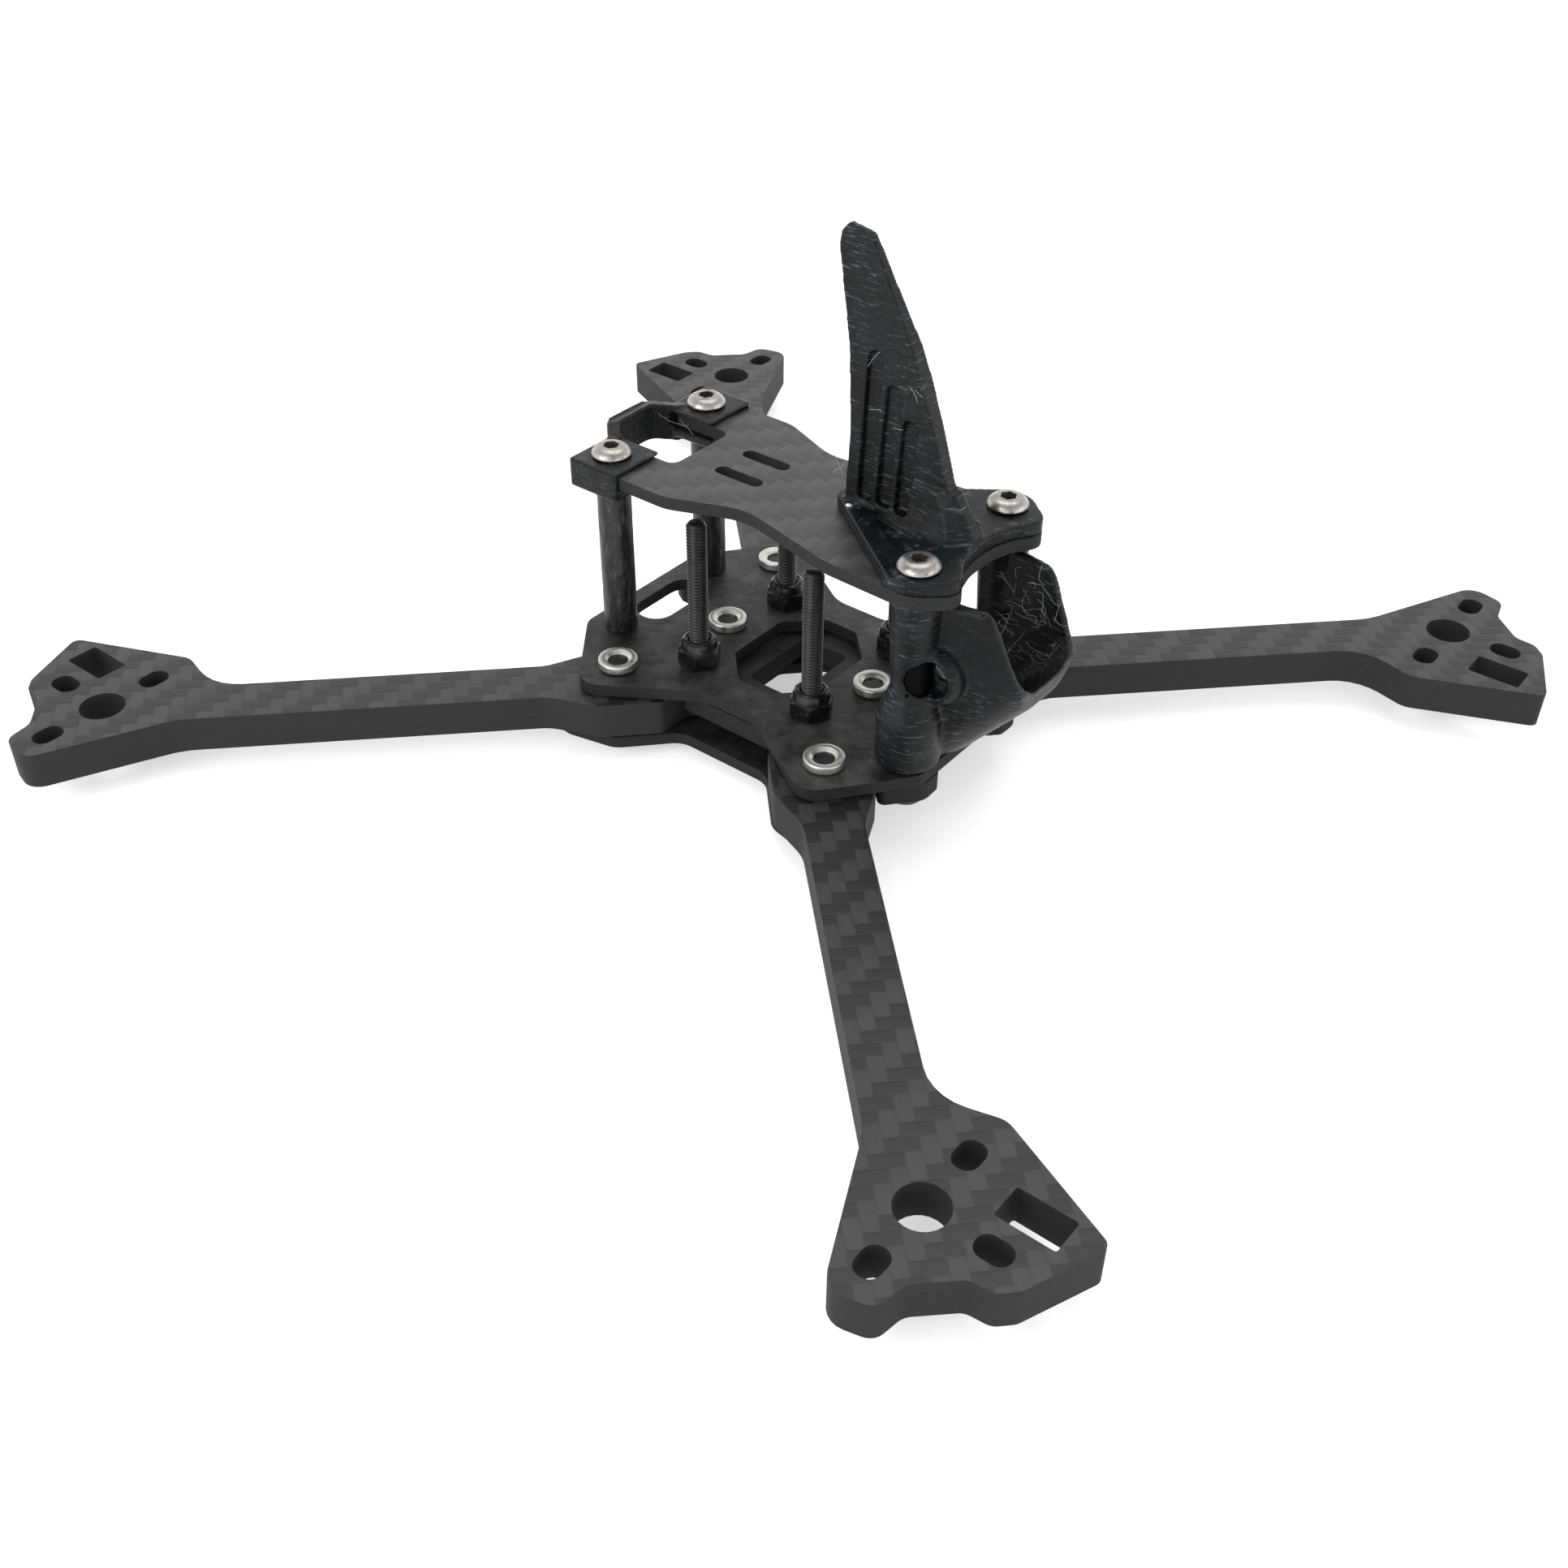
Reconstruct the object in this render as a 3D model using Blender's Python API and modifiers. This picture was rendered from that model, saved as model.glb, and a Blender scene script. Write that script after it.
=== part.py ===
"""Bare racing quadcopter frame: carbon plates and arms, printed mounts, M3 hardware.

The nose points along -Y, +Z is up, and the origin is on the ground under the centre of the stack.
All sizes below are millimetres; the mesh helpers turn them into metres.
"""
import math

import bmesh
import bpy

MM = 0.001
GAP = 0.2                     # play between faces that touch on the real frame
PART = "racing_quad_frame"

# Heights of the layers, from the ground up.
HEAD_HEIGHT = 1.65
ROOF_HEAD_HEIGHT = 1.35
PLATE = 2.0
ARM = 5.5
BRACE = 3.0
STANDOFF = 25.0
NOSE_BASE = 2.0
TAIL_CAP = 0.65               # printed block above the top plate
TAIL_LIP = 1.5                # printed block below the top plate
Z_BOTTOM = HEAD_HEIGHT
Z_ARM = Z_BOTTOM + PLATE
Z_MID = Z_ARM + ARM
Z_DECK = Z_MID + PLATE
Z_TOP = Z_DECK + STANDOFF
Z_ROOF = Z_TOP + PLATE
Z_NOSE = Z_ROOF + NOSE_BASE
Z_TAIL = Z_ROOF + TAIL_CAP

# Plan positions.
MOTOR = (68.2, 69.1)
STACK = 10.0                  # half of the 20 x 20 mm stack pattern
CLAMP = (18.0, 18.3)          # arm clamp screws
KEY = 13.1                    # brace screws on the centre line
POST_X = 10.0
REAR_POST_Y = 25.0
FRONT_POST_Y = -26.0

# M3 hardware.
THREAD_R = 1.42
BORE_R = 1.6
CLEARANCE_R = 1.7
HEAD_R = 2.78
HEX_SOCKET = 2.0
STANDOFF_R = 2.4
NUT_FLATS = 5.5
NUT_HEX = 2.5
NUT_HEIGHT = 3.9
PRESS_NUT_R = 2.8
PRESS_NUT_PROUD = 1.25
PRESS_NUT_SHANK_R = 2.15
BOLT_TOP = 33.6

SIDES = {"right": -1, "left": 1}
ENDS = {"front": -1, "rear": 1}


def start():
    """Empty the scene and make the part and cutter collections."""
    for thing in list(bpy.data.objects):
        bpy.data.objects.remove(thing)
    for name in (PART, "cutters"):
        group = bpy.data.collections.new(name)
        bpy.context.scene.collection.children.link(group)


def material(name, colour, roughness, metallic=0.0):
    """One Principled material."""
    found = bpy.data.materials.get(name)
    if found:
        return found
    made = bpy.data.materials.new(name)
    made.use_nodes = True
    shader = made.node_tree.nodes["Principled BSDF"]
    shader.inputs["Base Color"].default_value = (*colour, 1.0)
    shader.inputs["Roughness"].default_value = roughness
    shader.inputs["Metallic"].default_value = metallic
    return made


def carbon():
    return material("carbon_twill", (0.045, 0.047, 0.049), 0.5)


def printed():
    return material("printed_tpu", (0.012, 0.016, 0.018), 0.55)


def black_steel():
    return material("black_steel", (0.015, 0.015, 0.016), 0.3, 0.9)


def plain_steel():
    return material("plain_steel", (0.55, 0.53, 0.50), 0.3, 1.0)


def nickel():
    return material("nickel", (0.62, 0.61, 0.57), 0.28, 1.0)


def nylon():
    return material("black_nylon", (0.02, 0.02, 0.022), 0.5)


def place(thing, surface=None):
    """Put an object in the part, or among the cutters when it has no surface."""
    group = bpy.data.collections[PART if surface else "cutters"]
    group.objects.link(thing)
    if surface:
        thing.data.materials.append(surface)
    else:
        thing.hide_render = True
        thing.display_type = "WIRE"
    return thing


# ---------------------------------------------------------------- outlines

def rounded(corners, steps=5):
    """Polygon with each corner (x, y, radius) turned into an arc."""
    points = []
    count = len(corners)
    for i, (x, y, radius) in enumerate(corners):
        before = corners[i - 1]
        after = corners[(i + 1) % count]
        ax, ay = before[0] - x, before[1] - y
        bx, by = after[0] - x, after[1] - y
        la, lb = math.hypot(ax, ay), math.hypot(bx, by)
        turn = math.acos(max(-1.0, min(1.0, (ax * bx + ay * by) / (la * lb))))
        if radius <= 0 or turn > math.pi - 0.02:
            points.append((x, y))
            continue
        reach = radius / math.tan(turn / 2)
        limit = 0.49 * min(la, lb)
        if reach > limit:
            radius *= limit / reach
            reach = limit
        mx, my = ax / la + bx / lb, ay / la + by / lb
        scale = radius / math.sin(turn / 2) / math.hypot(mx, my)
        cx, cy = x + mx * scale, y + my * scale
        first = math.atan2(y + ay / la * reach - cy, x + ax / la * reach - cx)
        last = math.atan2(y + by / lb * reach - cy, x + bx / lb * reach - cx)
        sweep = (last - first + math.pi) % (2 * math.pi) - math.pi
        for k in range(steps + 1):
            angle = first + sweep * k / steps
            points.append((cx + radius * math.cos(angle), cy + radius * math.sin(angle)))
    return points


def circle(x, y, radius, count=16):
    """Circle as a polygon."""
    turns = (2 * math.pi * k / count for k in range(count))
    return [(x + radius * math.cos(a), y + radius * math.sin(a)) for a in turns]


def slot(x, y, half_x, half_y, radius):
    """Rectangle with round corners, centred on a point."""
    corners = [(x - half_x, y - half_y), (x + half_x, y - half_y),
               (x + half_x, y + half_y), (x - half_x, y + half_y)]
    return rounded([(cx, cy, radius) for cx, cy in corners])


def quartered(quadrant):
    """Closed corner list from one quadrant's corners, mirrored across both axes.

    The quadrant runs from the +X axis round to the +Y axis.
    """
    upper = quadrant + [(-x, y, r) for x, y, r in reversed(quadrant)]
    return upper + [(x, -y, r) for x, y, r in reversed(upper)]


def mirrored(half):
    """Closed corner list from the +X half, mirrored across the Y axis."""
    return half + [(-x, y, r) for x, y, r in reversed(half)]


def corners_of(pairs):
    """Every +/- combination of some (x, y) positions."""
    return [(sx * x, sy * y) for x, y in pairs for sx in (1, -1) for sy in (1, -1)]


# ---------------------------------------------------------------- solids

def extruded(name, outlines, low, high, surface=None):
    """Flat outline with holes, filled between two heights."""
    data = bpy.data.curves.new(name, "CURVE")
    data.dimensions = "2D"
    data.fill_mode = "BOTH"
    data.extrude = (high - low) / 2 * MM
    for outline in outlines:
        spline = data.splines.new("POLY")
        spline.points.add(len(outline) - 1)
        for point, (x, y) in zip(spline.points, outline):
            point.co = (x * MM, y * MM, 0, 1)
        spline.use_cyclic_u = True
    thing = bpy.data.objects.new(name, data)
    thing.location.z = (low + high) / 2 * MM
    return place(thing, surface)


def layer(name, outlines, low, high, surface):
    """A plate between two layer heights, with half the play off each face."""
    return extruded(name, outlines, low + GAP / 2, high - GAP / 2, surface)


def solid(curve):
    """Turn a filled curve object into a mesh object with welded caps."""
    bpy.context.view_layer.update()
    graph = bpy.context.evaluated_depsgraph_get()
    mesh = bpy.data.meshes.new_from_object(curve.evaluated_get(graph))
    shape = bmesh.new()
    shape.from_mesh(mesh)
    bmesh.ops.remove_doubles(shape, verts=shape.verts, dist=1e-6)
    shape.to_mesh(mesh)
    shape.free()
    made = bpy.data.objects.new(curve.name + "_solid", mesh)
    made.matrix_world = curve.matrix_world
    name, groups = curve.name, curve.users_collection
    made.hide_render, made.display_type = curve.hide_render, curve.display_type
    bpy.data.objects.remove(curve)
    made.name = name
    for group in groups:
        group.objects.link(made)
    return made


def turned(name, profile, surface=None, steps=20, at=(0, 0, 0)):
    """Solid of revolution about Z from (radius, height) points, top to bottom outside."""
    mesh = bpy.data.meshes.new(name)
    on_axis = profile[0][0] == 0
    edges = [(i, i + 1) for i in range(len(profile) - 1)]
    if not on_axis:
        edges.append((len(profile) - 1, 0))
    mesh.from_pydata([(r * MM, 0, z * MM) for r, z in profile], edges, [])
    thing = bpy.data.objects.new(name, mesh)
    thing.location = [c * MM for c in at]
    screw = thing.modifiers.new("turn", "SCREW")
    screw.steps = screw.render_steps = steps
    screw.use_merge_vertices = True
    screw.merge_threshold = 1e-6
    screw.use_smooth_shade = False
    return place(thing, surface)


def rod(name, radius, low, high, at=(0, 0), count=20, axis="Z", surface=None):
    """Cylinder between two positions along an axis; a hexagon with count 6."""
    mesh = bpy.data.meshes.new(name)
    shape = bmesh.new()
    bmesh.ops.create_cone(shape, cap_ends=True, segments=count, radius1=radius * MM,
                          radius2=radius * MM, depth=(high - low) * MM)
    shape.to_mesh(mesh)
    shape.free()
    thing = bpy.data.objects.new(name, mesh)
    middle = (low + high) / 2
    if axis == "Z":
        thing.location = (at[0] * MM, at[1] * MM, middle * MM)
    elif axis == "X":
        thing.location = (middle * MM, at[0] * MM, at[1] * MM)
        thing.rotation_euler.y = math.pi / 2
    else:
        thing.location = (at[0] * MM, middle * MM, at[1] * MM)
        thing.rotation_euler.x = math.pi / 2
    return place(thing, surface)


def standing(name, outlines, low, high, axis):
    """Cutter from an outline that stands up: (y, z) pushed along X, or (x, z) along Y."""
    thing = extruded(name, outlines, -(high - low) / 2, (high - low) / 2)
    middle = (low + high) / 2 * MM
    if axis == "X":
        thing.rotation_euler = (math.pi / 2, 0, math.pi / 2)
        thing.location = (middle, 0, 0)
    else:
        thing.rotation_euler = (math.pi / 2, 0, 0)
        thing.location = (0, middle, 0)
    return solid(thing)


def lofted(name, sections):
    """Cutter skinned over level outlines with the same number of points, low to high."""
    shape = bmesh.new()
    rings = [[shape.verts.new((x * MM, y * MM, z * MM)) for x, y in outline]
             for outline, z in sections]
    shape.faces.new(reversed(rings[0]))
    shape.faces.new(rings[-1])
    for low, high in zip(rings, rings[1:]):
        for k, corner in enumerate(low):
            n = (k + 1) % len(low)
            shape.faces.new((corner, low[n], high[n], high[k]))
    bmesh.ops.recalc_face_normals(shape, faces=shape.faces)
    mesh = bpy.data.meshes.new(name)
    shape.to_mesh(mesh)
    shape.free()
    return place(bpy.data.objects.new(name, mesh))


def combine(thing, other, operation):
    """Boolean modifier between an object and a cutter."""
    boolean = thing.modifiers.new(other.name, "BOOLEAN")
    boolean.operation = operation
    boolean.object = other
    return thing


def cut(thing, *others):
    for other in others:
        combine(thing, other, "DIFFERENCE")
    return thing


def join(thing, *others):
    for other in others:
        combine(thing, other, "UNION")
    return thing


def keep(thing, *others):
    for other in others:
        combine(thing, other, "INTERSECT")
    return thing


# ---------------------------------------------------------------- carbon pieces

CENTRE_OPENING = quartered([(10.0, 2.8, 1.6), (5.2, 7.5, 1.6)])


def grip_hole(end):
    """Oval opening near an end of the mid plate and brace."""
    return slot(0, end * 24.2, 6.2, 3.0, 2.9)


def bottom_plate():
    outline = quartered([(16.9, 7.6, 3.5), (23.9, 14.2, 3.5), (25.6, 22.0, 4), (24.4, 25.2, 2),
                         (19.0, 25.4, 3), (9.0, 18.6, 6)])
    spots = corners_of([(STACK, STACK), CLAMP]) + [(0, KEY), (0, -KEY)]
    holes = [circle(x, y, CLEARANCE_R) for x, y in spots]
    layer("bottom_plate", [rounded(outline), rounded(CENTRE_OPENING)] + holes,
          Z_BOTTOM, Z_ARM, carbon())


def mid_plate():
    outline = quartered([(15.2, 4.6, 6), (25.0, 19.6, 3.4), (12.2, 29.7, 3)])
    holes = [circle(x, y, CLEARANCE_R) for x, y in corners_of([(STACK, STACK)])]
    for y in (REAR_POST_Y, FRONT_POST_Y):
        holes += [circle(x, y, CLEARANCE_R) for x in (-POST_X, POST_X)]
    for x, y in corners_of([CLAMP]) + [(0, KEY), (0, -KEY)]:
        holes.append(circle(x, y, PRESS_NUT_SHANK_R + 0.15))
    holes += [grip_hole(end) for end in ENDS.values()]
    layer("mid_plate", [rounded(outline), rounded(CENTRE_OPENING)] + holes,
          Z_MID, Z_DECK, carbon())


def arm_brace():
    """Cross under the mid plate that fills the space between the four arm roots."""
    flare = ARM_ROOT_HALF * math.sqrt(2) + GAP * 1.5
    toe = ARM_TOE - GAP
    shoulder = ARM_SHOULDER - GAP
    outline = quartered([(15.2, shoulder, 1.8), (13.3, shoulder, 1.5), (10.4, toe, 1.0),
                         (toe, toe, 3.4), (toe, 10.4, 1.0), (shoulder, 13.3, 1.5),
                         (shoulder, shoulder + flare, 1.5), (15.8, 15.8 + flare, 1),
                         (11.0, 29.8, 2.5), (7.6, 29.7, 1.2), (6.3, 27.5, 1), (6.3, 21.0, 2.5)])
    holes = [circle(0, KEY, CLEARANCE_R), circle(0, -KEY, CLEARANCE_R)]
    for y in (REAR_POST_Y, FRONT_POST_Y):
        holes += [circle(x, y, CLEARANCE_R) for x in (-POST_X, POST_X)]
    layer("arm_brace", [rounded(outline), slot(0, 0, 6.5, 4.0, 1.0)] + holes,
          Z_MID - BRACE, Z_MID, carbon())


ARM_ROOT_HALF = 6.8           # half width of an arm's root, across the arm
ARM_TOE = 6.4                 # inner end of an arm, round the stack bolt
ARM_SHOULDER = 9.3            # flats either side of the toe, where the brace keys in

ARM_CORNERS = [
    (ARM_TOE, ARM_TOE, 3.6), (10.6, ARM_TOE, 1.2),                   # toe
    (13.5, ARM_SHOULDER, 1.5), (18.9, ARM_SHOULDER + 0.2, 1.5),      # shoulder
    (25.2, 15.6, 4.5), (27.9, 22.6, 7),                              # outer side of the root
    (63.8, 58.5, 12), (82.3, 67.2, 2.8),                             # outer edge to the tip
    (80.9, 72.6, 2.0), (76.9, 73.2, 2.5), (72.7, 77.6, 2.0),         # scalloped end
    (72.4, 80.6, 2.0), (70.6, 82.4, 2.5),
    (60.6, 86.6, 1.2), (53.2, 69.6, 3.0), (55.5, 61.3, 7.5),         # corner and inner edge
    (22.6, 28.4, 6), (15.6, 25.2, 4),                                # inner side of the root
    (ARM_SHOULDER + 0.2, 18.9, 1.5), (ARM_SHOULDER, 13.5, 1.5), (ARM_TOE, 10.6, 1.2),
]


def arms():
    """Four arms, each the same outline mirrored into its own quadrant."""
    mx, my = MOTOR
    holes = [
        circle(STACK, STACK, CLEARANCE_R), circle(*CLAMP, CLEARANCE_R),
        circle(mx, my, 3.15, 24),
        slot(mx - 8.5, my, 2.15, 1.6, 1.5), slot(mx + 8.6, my, 2.15, 1.6, 1.5),
        slot(mx, my + 8.6, 1.6, 2.2, 1.5),
        slot(mx - 5.9, my + 9.8, 2.25, 3.7, 0.35),
    ]
    outlines = [rounded(ARM_CORNERS)] + holes
    for end, sy in ENDS.items():
        for side, sx in SIDES.items():
            flipped = [[(sx * x, sy * y) for x, y in outline] for outline in outlines]
            layer(f"arm_{end}_{side}", flipped, Z_ARM, Z_MID, carbon())


PLATE_NOSE = [(13.8, -27.4, 4.5), (9.7, -32.3, 2.4), (5.6, -29.6, 5), (2.4, -28.7, 8)]


def top_plate():
    """Bow-tie roof with a notch at each end and two strap slots."""
    tail = [(3.0, 17.3, 0), (6.0, 17.3, 3.0), (6.0, 27.6, 1.0), (13.6, 27.6, 1.0),
            (13.6, 12.2, 7), (9.4, 2.0, 9), (13.3, -14.0, 12)]
    outline = rounded(mirrored(tail + PLATE_NOSE))
    holes = [slot(side * 2.95, 8.3, 1.05, 3.9, 1.0) for side in SIDES.values()]
    for y in (REAR_POST_Y, FRONT_POST_Y):
        holes += [circle(x, y, CLEARANCE_R) for x in (-POST_X, POST_X)]
    layer("top_plate", [outline] + holes, Z_TOP, Z_ROOF, carbon())


# ---------------------------------------------------------------- hardware

def button_screw(name, x, y, seat, tip, up, surface):
    """Button-head screw with a hex socket; its shank runs from the seat to the tip."""
    sign = 1 if up else -1
    height = (ROOF_HEAD_HEIGHT if up else HEAD_HEIGHT) - GAP / 2
    dome = [(0, height)]
    for k in range(4):
        angle = math.radians(30 + 20 * k)
        dome.append((HEAD_R * math.sin(angle), height * math.cos(math.radians(22.5 * k)) ** 0.75))
    dome += [(HEAD_R, 0), (THREAD_R, 0), (THREAD_R, -abs(tip - seat)), (0, -abs(tip - seat))]
    screw = turned(name, dome, surface, 16, (x, y, seat + sign * GAP / 2))
    key = rod(f"{name}_socket", HEX_SOCKET / math.sqrt(3), height - 1.1, height + 1, count=6)
    key.location = (x * MM, y * MM, (seat + sign * (GAP / 2 + height)) * MM)
    if not up:
        screw.rotation_euler.x = math.pi
    return cut(screw, key)


def screws():
    """Roof screws, deck screws and the frame screws under the bottom plate."""
    for end, y, seat in (("front", FRONT_POST_Y, Z_NOSE), ("rear", REAR_POST_Y, Z_TAIL)):
        for side, sx in SIDES.items():
            x = sx * POST_X
            button_screw(f"roof_screw_{end}_{side}", x, y, seat, seat - 10, True, plain_steel())
            button_screw(f"deck_screw_{end}_{side}", x, y, Z_MID - BRACE, Z_DECK + 6, False,
                         black_steel())
    for end, sy in ENDS.items():
        button_screw(f"brace_screw_{end}", 0, sy * KEY, Z_BOTTOM, Z_DECK + 0.7, False,
                     black_steel())
        for side, sx in SIDES.items():
            button_screw(f"clamp_screw_{end}_{side}", sx * CLAMP[0], sy * CLAMP[1], Z_BOTTOM,
                         Z_DECK + 0.7, False, black_steel())
            button_screw(f"stack_bolt_{end}_{side}", sx * STACK, sy * STACK, Z_BOTTOM, BOLT_TOP,
                         False, black_steel())


def press_nuts():
    """Round self-clinching nuts standing proud of the mid plate."""
    proud = PRESS_NUT_PROUD
    seat = GAP / 2
    profile = [(BORE_R + 0.25, proud), (PRESS_NUT_R - 0.25, proud), (PRESS_NUT_R, proud - 0.25),
               (PRESS_NUT_R, seat), (PRESS_NUT_SHANK_R, seat), (PRESS_NUT_SHANK_R, -PLATE + GAP),
               (BORE_R, -PLATE + GAP), (BORE_R, proud - 0.25)]
    spots = {f"press_nut_{end}": (0, sy * KEY) for end, sy in ENDS.items()}
    for end, sy in ENDS.items():
        for side, sx in SIDES.items():
            spots[f"press_nut_{end}_{side}"] = (sx * CLAMP[0], sy * CLAMP[1])
    for name, (x, y) in spots.items():
        turned(name, profile, nickel(), 24, (x, y, Z_DECK))


def lock_nuts():
    """Nylon-insert lock nuts, seated on the mid plate, and their insert rings."""
    across = NUT_FLATS / math.sqrt(3)
    for end, sy in ENDS.items():
        for side, sx in SIDES.items():
            x, y = sx * STACK, sy * STACK
            at = (x, y, Z_DECK + GAP / 2)
            name = f"lock_nut_{end}_{side}"
            nut = rod(name, across, at[2], at[2] + NUT_HEX, (x, y), 6, surface=black_steel())
            collar = turned(f"{name}_collar", [(0, NUT_HEIGHT), (2.2, NUT_HEIGHT), (2.55, 3.4),
                                               (2.7, 1.5), (0, 1.5)], None, 24, at)
            recess = rod(f"{name}_recess", 2.0, at[2] + NUT_HEX, at[2] + 6, (x, y))
            bore = rod(f"{name}_bore", BORE_R, at[2] - 1, at[2] + 6, (x, y))
            cut(join(nut, collar), bore, recess)
            ring = [(BORE_R, 3.75), (1.85, 3.75), (1.85, NUT_HEX + 0.15), (BORE_R, NUT_HEX + 0.15)]
            turned(f"nut_insert_{end}_{side}", ring, nylon(), 20, at)


def standoffs():
    """Round threaded posts between the mid plate and the top plate."""
    low, high = GAP / 2, STANDOFF - GAP / 2
    profile = [(BORE_R, high), (STANDOFF_R - 0.2, high), (STANDOFF_R, high - 0.2),
               (STANDOFF_R, low + 0.2), (STANDOFF_R - 0.2, low), (BORE_R, low)]
    for end, y in (("front", FRONT_POST_Y), ("rear", REAR_POST_Y)):
        for side, sx in SIDES.items():
            turned(f"standoff_{end}_{side}", profile, black_steel(), 20, (sx * POST_X, y, Z_DECK))


# ---------------------------------------------------------------- printed pieces

CRADLE_SLOPE = 1.12           # rise of the cradle's floor for each millimetre forwards
CRADLE_BACK = -25.4
CRADLE_HALF = 9.5             # half width at the back; the cheeks close in towards the front
CRADLE_TAPER = 0.0187
CRADLE_FLOOR = -4.0           # height of the floor at the back, above the mid plate's underside
CRADLE_WALL = 1.6
SLEEVE_R = 2.8
LENS_PIVOT = (-29.2, Z_MID + 16.0)


def trough(name, half, floor):
    """U-section bar running forwards and upwards along the cradle's slope."""
    corners = [(half, 40, 0), (-half, 40, 0), (-half, floor, 0.62 * half), (half, floor, 0.62 * half)]
    thing = standing(name, [rounded(corners, 6)], -48, CRADLE_BACK + 2, "Y")
    for vertex in thing.data.vertices:
        forwards = CRADLE_BACK * MM - (thing.matrix_world @ vertex.co).y
        vertex.co.y += forwards * CRADLE_SLOPE
        vertex.co.x *= 1 - forwards / MM * CRADLE_TAPER
    return thing


def camera_mount():
    """Printed cradle for a small camera, with a sleeve round each front standoff."""
    base = Z_MID
    side = [(CRADLE_BACK, base + 2.3, 0), (-31.0, base + 2.3, 1), (-39.6, base + 10.8, 3),
            (-40.1, base + 15.6, 2), (-35.2, base + 26.3, 2.2), (CRADLE_BACK, base + 26.3, 0)]
    shell = trough("camera_mount", CRADLE_HALF, base + CRADLE_FLOOR)
    shell.hide_render = False
    shell.display_type = "TEXTURED"
    bpy.data.collections["cutters"].objects.unlink(shell)
    place(shell, printed())
    keep(shell, standing("cradle_side", [rounded(side)], -20, 20, "X"))
    inside = trough("cradle_inside", CRADLE_HALF - CRADLE_WALL, base + CRADLE_FLOOR + 2.4)
    room = [(-20, base + 4.1, 0), (-50, base + 4.1, 0), (-50, 60, 0), (-20, 60, 0)]
    cut(shell, keep(inside, standing("cradle_room", [rounded(room)], -20, 20, "X")))
    low, high = Z_DECK + GAP / 2, Z_TOP - GAP / 2
    sleeve = [(0, high), (SLEEVE_R + 0.7, high), (SLEEVE_R, Z_MID + 13.5), (4.4, Z_MID + 9.2),
              (4.4, low + 0.4), (4.1, low), (0, low)]
    for name, sx in SIDES.items():
        join(shell, turned(f"sleeve_{name}", sleeve, None, 24, (sx * POST_X, FRONT_POST_Y, 0)))
        boss = turned(f"boss_{name}", [(0, 3.3), (3.3, 3.3), (4.0, 2.2), (4.0, 0), (0, 0)],
                      None, 24, (sx * (CRADLE_HALF - CRADLE_WALL - 0.4), *LENS_PIVOT))
        boss.rotation_euler.y = sx * math.pi / 2
        join(shell, boss)
        cut(shell, rod(f"post_bore_{name}", STANDOFF_R + 0.15, low - 2, high + 2,
                       (sx * POST_X, FRONT_POST_Y), 24))
        near, far = sorted((sx * 8.6, sx * 14.0))
        cut(shell, rod(f"screw_pocket_{name}", 2.6, near, far, LENS_PIVOT, 20, "X"))
        near, far = sorted((sx * 5.0, sx * 9.0))
        cut(shell, rod(f"screw_hole_{name}", 1.1, near, far, LENS_PIVOT, 16, "X"))


def antenna_mount():
    """Printed blocks round the tips of the top plate, joined by an arched bridge."""
    low, high = Z_TOP - TAIL_LIP, Z_TAIL - GAP / 2
    bridge_low, bridge_high = Z_TOP - 2.8, Z_ROOF + 0.6
    outer = [(7.7, 27.0, 0), (7.4, 28.1, 1.0), (3.9, 31.6, 3.5), (-3.9, 31.6, 3.5),
             (-7.4, 28.1, 1.0), (-7.7, 27.0, 0)]
    inner = [(-5.5, 27.0, 0), (-5.4, 27.6, 0.8), (-3.4, 29.6, 1.5), (3.4, 29.6, 1.5),
             (5.4, 27.6, 0.8), (5.5, 27.0, 0)]
    crest = [(x, 31.6, 0) for x in (1.5, 0, -1.5)] + [(x, 29.6, 0) for x in (-1.5, 0, 1.5)]
    wall = outer[:3] + crest[:3] + outer[3:] + inner[:3] + crest[3:] + inner[3:]
    bridge = solid(extruded("antenna_mount", [rounded(wall)], bridge_low, bridge_high, printed()))
    for vertex in bridge.data.vertices:
        vertex.co.z += 1.1 * MM * (1 - (vertex.co.x / (8 * MM)) ** 2)
    for name, sx in SIDES.items():
        block = solid(extruded(f"block_{name}", [slot(sx * 9.9, 24.65, 4.6, 4.25, 0.5)], low, high))
        join(bridge, block)
    grip = [(5.0, 15, 0), (5.0, 27.9, 0.5), (13.9, 27.9, 0.5), (13.9, 15, 0)]
    for name, sx in SIDES.items():
        outline = [(sx * x, y, r) for x, y, r in grip]
        plate_slot = solid(extruded(f"plate_slot_{name}", [rounded(outline)], Z_TOP - GAP / 2,
                                    Z_ROOF + GAP / 2))
        post = rod(f"post_hole_{name}", STANDOFF_R + 0.15, low - 2, Z_TOP, (sx * POST_X, REAR_POST_Y))
        screw = rod(f"roof_hole_{name}", CLEARANCE_R, Z_ROOF - 1, high + 2, (sx * POST_X, REAR_POST_Y))
        cut(bridge, plate_slot, post, screw)

FIN_SIDE = [
    (-8.3, 29.4, 0), (-8.8, 40.0, 30), (-8.2, 51.0, 40), (-5.7, 63.8, 2), (-5.9, 65.4, 0.6),
    (-6.9, 66.6, 0.4), (-10.4, 66.0, 0.6), (-14.0, 59.5, 60), (-17.5, 53.4, 12), (-21.1, 44.3, 30),
    (-23.4, 37.3, 8), (-27.2, 31.4, 0), (-27.2, 29.4, 0),
]
FIN_GROOVES = [(-12.2, 52.0, -11.4), (-15.2, 48.3, -14.3), (-17.9, 44.4, -17.2)]


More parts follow.
